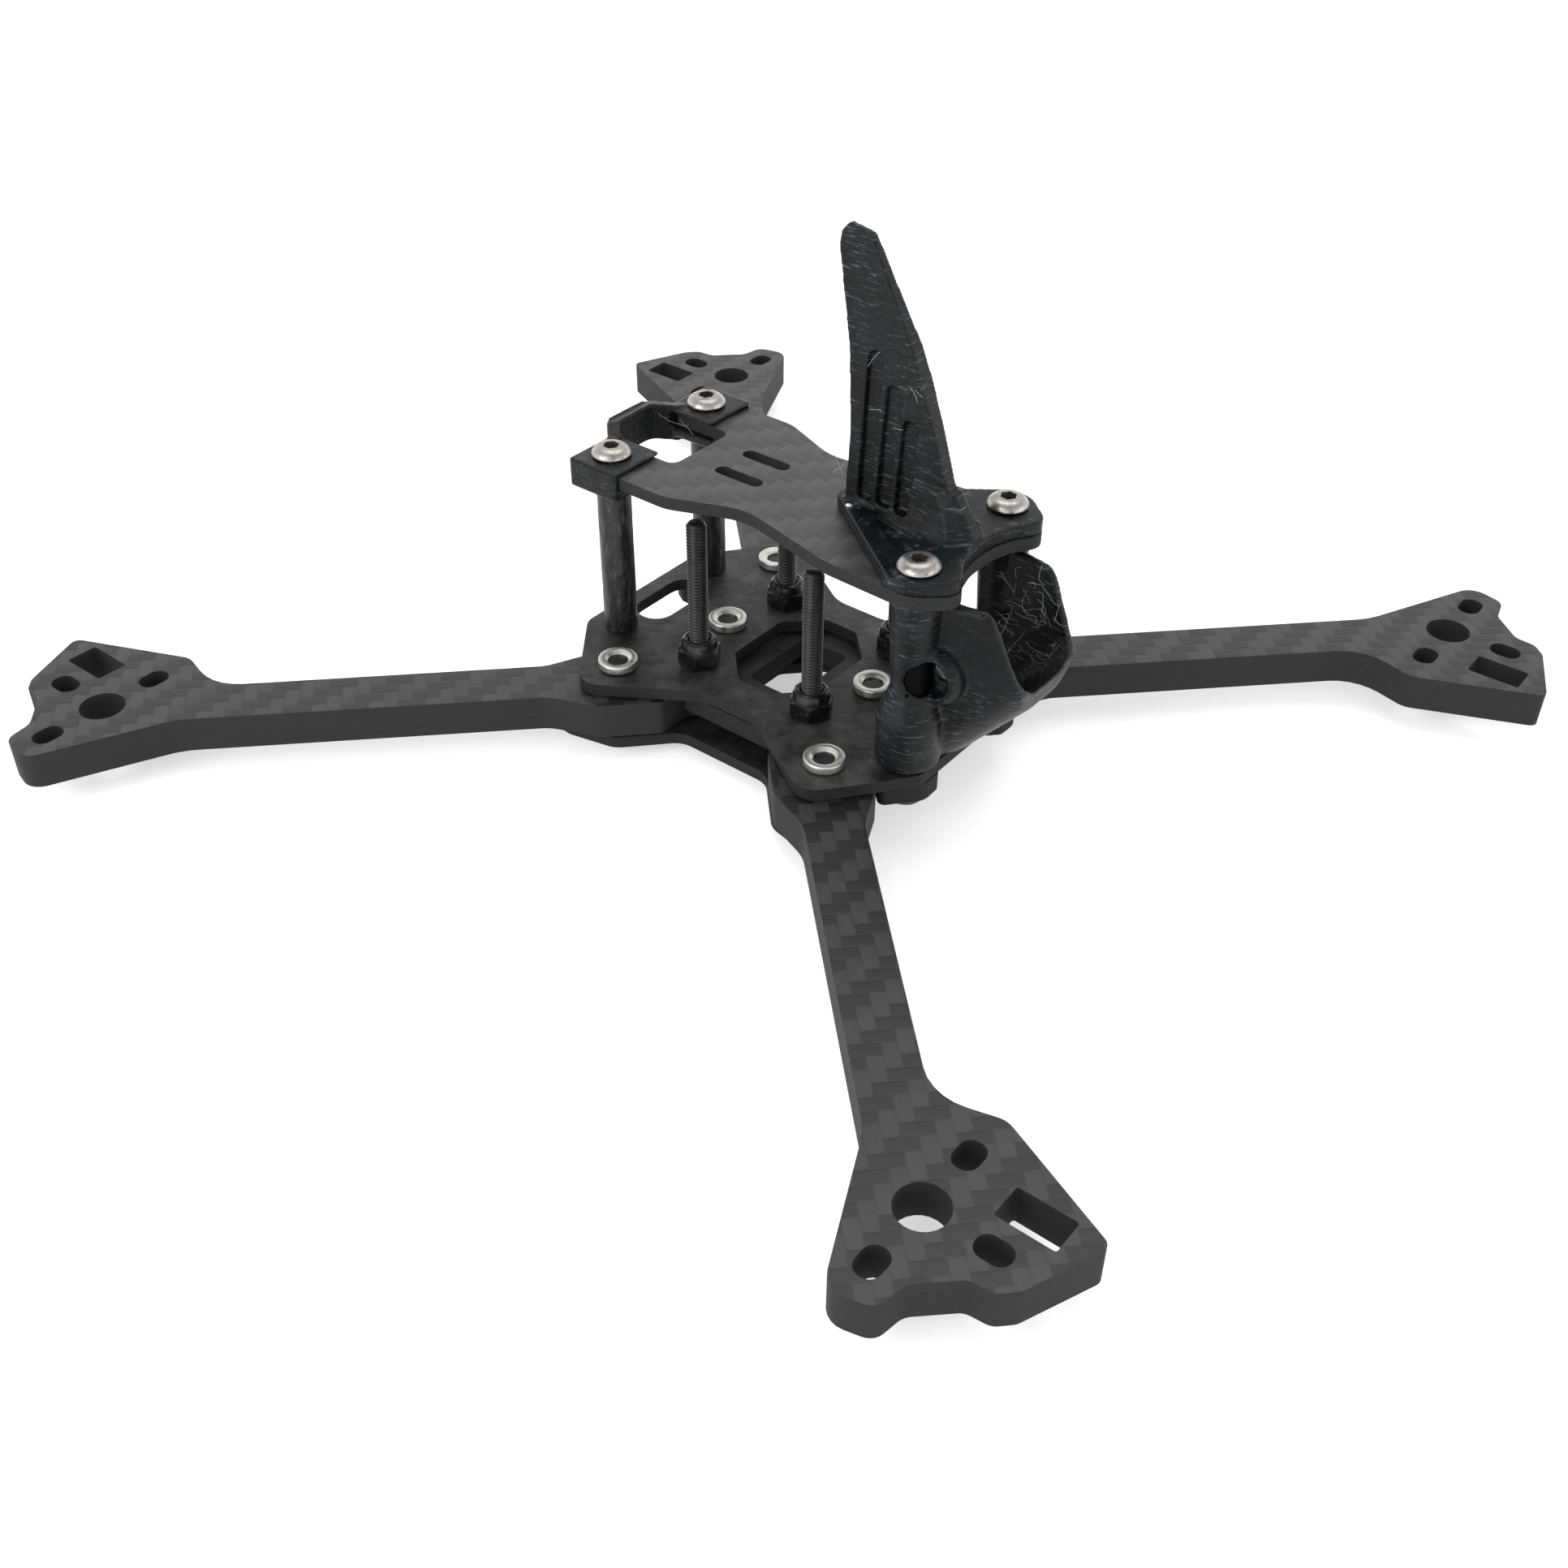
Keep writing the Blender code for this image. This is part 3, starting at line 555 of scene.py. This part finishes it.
def roof_screws():
    """Bright button heads: a domed top, a flat land round the hex socket and a fine rim; the
    socket's floor is painted shade.
    """
    tall, rim, waist, steep = 1.25, 0.16, 1.30, 70
    fall = math.cos(math.radians(steep))
    for k, quad in enumerate(QUADS):
        node = f"roof_screw_{quad}"
        x, y, low, high = middle(node)
        seat = high - tall * MM
        tip = (low - seat) / MM
        profile = [(SHANK_TIP, tip), (SHANK, tip + 0.2), (SHANK, 0.0), (HEAD - 0.08, 0.0),
                   (HEAD, 0.07), (HEAD, rim)]
        for step in range(1, 13):
            angle = math.radians(steep * (1 - step / 12))
            profile.append((
                waist + (HEAD - waist) * math.sin(angle) / math.sin(math.radians(steep)),
                rim + (tall - rim) * (math.cos(angle) - fall) / (1 - fall)))
        profile.append((HEX_LAND, tall))
        key = hexagon(HEX_KEY, tall - HEX_DEPTH, tall + 0.5, (x, y, seat), 0.35 + 1.1 * k)
        mesh = carved(lathe(profile, 48, (x, y, seat)), key, "DIFFERENCE")
        smoothed(mesh, 35)
        add(f"{node}_look", mesh, bright_steel, "frame", node)
        # near-black cone at the socket's floor: painted shade in the recess of the bright steel
        # head
        socket_shade_cone = lathe([(1.12, tall - 1.02), (1.12, tall - 1.0), (0.0001, tall - 1.25)], 24,
                        (x, y, seat))
        add(f"{node}_key", socket_shade_cone, socket_painted_shade, "frame")


PITCH = 0.5
THREAD_START = 9.6                  # height inside the lock nut where the modelled thread begins
THREAD_DEPTH = 0.27
THREAD_END = 1.02                   # radius of the chamfered end
STACK_SHANK_TOP = 0.0100            # the plain shank stops inside the nut as well


def thread(name, node):
    """Fully threaded stack bolt above its nut, with a real helix and a chamfered end."""
    x, y, _, high = middle(node)
    height = high / MM - THREAD_START
    steps, rise = 24, 6
    count = int(height / PITCH * rise)
    shape = bmesh.new()
    rings = []
    for level_at in range(count + 1):
        z = height * level_at / count
        ring = []
        for k in range(steps):
            angle = 2 * math.pi * k / steps
            phase = (z / PITCH - k / steps) % 1.0
            tooth = 1 - abs(2 * phase - 1)
            crest = SHANK - THREAD_DEPTH * (1 - min(1.0, tooth * 1.25))
            crest = min(crest, THREAD_END + max(0.0, height - z) * 0.9)
            ring.append(shape.verts.new((x + crest * MM * math.cos(angle),
                                         y + crest * MM * math.sin(angle),
                                         (THREAD_START + z) * MM)))
        rings.append(ring)
    mesh = skinned(shape, rings, name)
    smoothed(mesh, 50)
    add(name, mesh, black_oxide, "frame")


def button_head(node):
    """Button head and plain shank of a black screw put in from below."""
    tall, rim, curve = 1.55, 0.2, 62
    x, y, low, high = middle(node)
    seat = low + tall * MM
    tip = min(high, STACK_SHANK_TOP) if node.startswith("stack") else high
    profile = [(SHANK_TIP, (tip - seat) / MM), (SHANK, (tip - seat) / MM - 0.2), (SHANK, 0.0),
               (HEAD - 0.08, 0.0), (HEAD, -0.07), (HEAD, -rim)]
    for step in range(1, 11):
        part = step / 10
        angle = math.radians(90 - curve * part)
        profile.append((HEAD * math.sin(angle),
                        -rim - (tall - rim) * math.sin(math.pi / 2 * part) ** 0.92))
    profile.append((HEX_LAND, -tall))
    key = hexagon(HEX_KEY, -tall - 0.5, -tall + HEX_DEPTH, (x, y, seat), 0.5)
    mesh = carved(lathe(profile, 40, (x, y, seat)), key, "DIFFERENCE")
    smoothed(mesh, 35)
    add(f"{node}_look", mesh, black_oxide, "frame", node)


def lock_nuts():
    """Hex nuts with cut corners, a crowned collar and a dark bore over the nylon ring."""
    hex_top = 2.55
    for quad in QUADS:
        node = f"lock_nut_{quad}"
        x, y, low, high = middle(node)
        tall = (high - low) / MM
        lo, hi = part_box(node)
        wide, deep = hi.x - lo.x, hi.y - lo.y
        across = min(wide, deep) / MM
        corner = max(wide, deep) / 2 / MM
        cap = lathe([(across / 2 - 0.05, 0.0), (corner, 0.35), (corner, hex_top - 0.40),
                     (across / 2 - 0.12, hex_top + 0.02)], 48, (x, y, low))
        bar = hexagon(across, -0.5, hex_top + 0.5, (x, y, low), 0.0 if wide > deep else math.pi / 6)
        collar = lathe([(2.62, hex_top - 0.6), (2.62, hex_top + 0.10), (2.56, hex_top + 0.55),
                        (2.40, tall - 0.28), (2.16, tall - 0.06), (1.98, tall),
                        (1.86, tall - 0.08)], 40, (x, y, low))
        bore = lathe([(1.62, -0.5), (1.62, hex_top), (1.88, hex_top), (1.88, tall + 0.5)], 40,
                     (x, y, low))
        body = carved(cap, bar, "INTERSECT")
        body = carved(body, collar, "UNION")
        body = carved(body, bore, "DIFFERENCE")
        smoothed(body, 30)
        add(f"{node}_look", body, nut_black, f"nut_{quad}", node)


def press_nuts():
    """Bright clinch nuts: rounded flange, countersunk mouth and a narrower lip in the bore."""
    seat, rim, sleeve = 1.9, 0.22, 2.05
    for spot in (*ENDS, *QUADS):
        node = f"press_nut_{spot}"
        x, y, low, high = middle(node)
        out = outer_radius(node)
        top = (high - low) / MM
        profile = [(1.62, 0.0), (1.62, top - 1.0), (1.45, top - 0.8), (1.45, top - 0.42),
                   (1.86, top - 0.06), (1.98, top)]
        profile += [(out - rim + rim * math.sin(a), top - rim + rim * math.cos(a))
                    for a in (math.pi / 2 * k / 5 for k in range(6))]
        profile += [(out, seat + 0.08), (out - 0.08, seat), (sleeve, seat), (sleeve, 0.0)]
        mesh = lathe(profile, 48, (x, y, low), close=True)
        smoothed(mesh, 35)
        add(f"{node}_look", mesh, press_nickel, "frame", node)


def standoffs():
    """Round posts with upright gouges; those in the camera mount's sleeves are plain black."""
    levels, bore, chamfer = 60, 1.6, 0.2
    deepest, upright = 0.13, 0.30
    for quad in QUADS:
        node = f"standoff_{quad}"
        x, y, low, high = middle(node)
        out = outer_radius(node)
        tall = (high - low) / MM

        def gouge(angle, height):
            spot = Vector((math.cos(angle) * 2.2 + x * 900, math.sin(angle) * 2.2 + y * 900,
                           height * upright))
            depth = deepest * max(0.0, noise.noise(spot * 2.1) - 0.08)
            return -depth if 0.3 < height < tall - 0.3 else 0.0

        profile = [(bore, tall), (bore, 0.0), (out - chamfer, 0.0), (out, chamfer)]
        profile += [(out, 0.35 + (tall - 0.7) * k / levels) for k in range(levels + 1)]
        profile += [(out, tall - chamfer), (out - chamfer, tall)]
        mesh = lathe(profile, 72, (x, y, low), close=True, wobble=gouge)
        smoothed(mesh, 40)
        surface = post_black if quad.startswith("rear") else hidden_post
        add(f"{node}_look", mesh, surface, "frame", node)


roof_screws()
for quad in QUADS:
    button_head(f"stack_bolt_{quad}")
    thread(f"stack_bolt_{quad}_thread", f"stack_bolt_{quad}")
    button_head(f"clamp_screw_{quad}")
    button_head(f"deck_screw_{quad}")
for end in ENDS:
    button_head(f"brace_screw_{end}")
lock_nuts()
press_nuts()
standoffs()
for quad in QUADS:
    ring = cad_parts[f"nut_insert_{quad}"]
    ring.data.materials.clear()
    ring.data.materials.append(nylon_black)


# ---------------------------------------------------------------- stringing and stray print

CHEEK = 7.9                         # half-width inside the cradle at its back, in millimetres
CHEEK_BACK = -25.4
CHEEK_TAPER = 0.0187
STRING_POINTS = 9


def mottled(name, rough, scale, dark, light):
    """Plain plastic between two shades."""
    s = Shader(name, rough)
    s.colour(s.mix(s.noise(s.place, scale), dark, light))
    return s.material


stray = mottled("stray_hair", 0.35, 900.0, (0.12, 0.13, 0.13), (0.42, 0.43, 0.43))


def hairs(name, lines, thick, seed):
    """Fine strings of plastic between two walls, as a few thin bent tubes in one mesh."""
    pick = random.Random(seed)
    curve = bpy.data.curves.new(name, "CURVE")
    curve.dimensions = "3D"
    curve.bevel_depth = thick * MM
    curve.bevel_resolution = 1
    curve.use_fill_caps = True
    for a, b, bow in lines:
        a, b = Vector(a), Vector(b)
        spline = curve.splines.new("POLY")
        spline.points.add(STRING_POINTS - 1)
        sway = Vector([pick.uniform(-1, 1) for _ in range(3)]) * bow
        for k, point in enumerate(spline.points):
            t = k / (STRING_POINTS - 1)
            kink = Vector([pick.uniform(-0.06, 0.06) for _ in range(3)]) * min(1, bow * 2)
            spot = a.lerp(b, t) + sway * math.sin(math.pi * t) + kink
            point.co = (*(spot * MM), 1)
    thing = bpy.data.objects.new(name, curve)
    scene.collection.objects.link(thing)
    mesh = applied(thing)
    bpy.data.curves.remove(curve)
    rounded_over(mesh)
    add(name, mesh, stray, "frame")


def cradle_lines():
    """Strings spun across the inside of the far cheek, and a few from cheek to cheek."""
    pick = random.Random(7)
    lines = []
    for _ in range(54):
        y = pick.uniform(-37.5, -28.0)
        z = pick.uniform(20.5, 33.5)
        wall = CHEEK - 0.05 + (y - CHEEK_BACK) * CHEEK_TAPER * CHEEK
        start = wall - pick.uniform(0.15, 0.9)
        turn = pick.uniform(0, math.pi)
        reach = pick.uniform(0.8, 3.4)
        lines.append(((start, y, z), (start - pick.uniform(0, 0.6), y + reach * math.cos(turn),
                                      z + reach * math.sin(turn)), pick.uniform(0.2, 0.9)))
    for _ in range(5):
        y = pick.uniform(-36.0, -29.0)
        z = pick.uniform(21.0, 30.0)
        lines.append(((-6.3, y, z - 2), (6.3, y + 2, z), 0.9))
    return lines


def bead():
    """Pale blob of plastic left at the rear corner of the fin's foot."""
    shape = bmesh.new()
    bmesh.ops.create_icosphere(shape, subdivisions=3, radius=0.42 * MM)
    for vertex in shape.verts:
        vertex.co *= 1 + 0.3 * noise.noise(vertex.co * 2600)
        vertex.co.z *= 0.6
    mesh = meshed(shape, "bead")
    foot_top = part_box("top_plate")[1].z + 2.0 * MM
    mesh.transform(Matrix.Translation((-2.9 * MM, -10.1 * MM, foot_top)))
    rounded_over(mesh)
    plastic = mottled("bead_plastic", 0.4, 1500.0, (0.55, 0.56, 0.56), (0.80, 0.80, 0.79))
    add("stray_bead", mesh, plastic, "frame")


# each string: its two ends in millimetres, and how far it bows
hairs("cradle_strings", cradle_lines(), 0.022, 3)
hairs("bridge_strings", [((-5.4, 27.0, 36.6), (-4.6, 29.2, 37.6), 0.6),
                         ((-5.3, 22.0, 37.6), (-5.2, 26.3, 36.4), 0.5),
                         ((5.3, 24.5, 37.2), (4.0, 29.0, 38.2), 0.7),
                         ((5.3, 23.5, 36.2), (5.2, 26.0, 37.8), 0.6),
                         ((-5.3, 23.2, 38.0), (-4.4, 28.8, 38.3), 0.4)], 0.03, 5)
hairs("fin_strings", [((-1.5, -18.8, 56.6), (-1.9, -18.0, 58.4), 0.5),
                      ((-1.6, -18.4, 58.2), (-1.7, -19.6, 57.6), 0.4),
                      ((-1.4, -12.8, 61.4), (-1.5, -11.2, 59.0), 0.2),
                      ((-1.9, -8.3, 43.0), (-2.3, -7.0, 46.2), 0.9),
                      ((-2.0, -8.5, 45.0), (-2.2, -7.6, 43.6), 0.7),
                      ((-1.6, -16.9, 52.4), (-1.7, -15.4, 52.2), 0.1),
                      ((-1.7, -13.6, 54.1), (-1.7, -11.9, 53.6), 0.1)], 0.03, 11)
bead()


# ---------------------------------------------------------------- floor

GROUND_HALF = 6
GROUND_GREY = 0.72
GROUND_GLOW = 0.50


def pale_ground():
    """Plain pale ground that glows a little, so that it stays near white."""
    mesh = bpy.data.meshes.new("ground")
    mesh.from_pydata([(x * GROUND_HALF, y * GROUND_HALF, 0)
                      for x, y in ((-1, -1), (1, -1), (1, 1), (-1, 1))], [], [(0, 1, 2, 3)])
    s = Shader("ground", 0.9, 0.0, 0.2)
    s.surface.inputs["Base Color"].default_value = (GROUND_GREY, GROUND_GREY, GROUND_GREY, 1)
    s.surface.inputs["Emission Color"].default_value = (1, 1, 1, 1)
    s.surface.inputs["Emission Strength"].default_value = GROUND_GLOW
    mesh.materials.append(s.material)
    ground = bpy.data.objects.new("ground", mesh)
    scene.collection.objects.link(ground)


pale_ground()
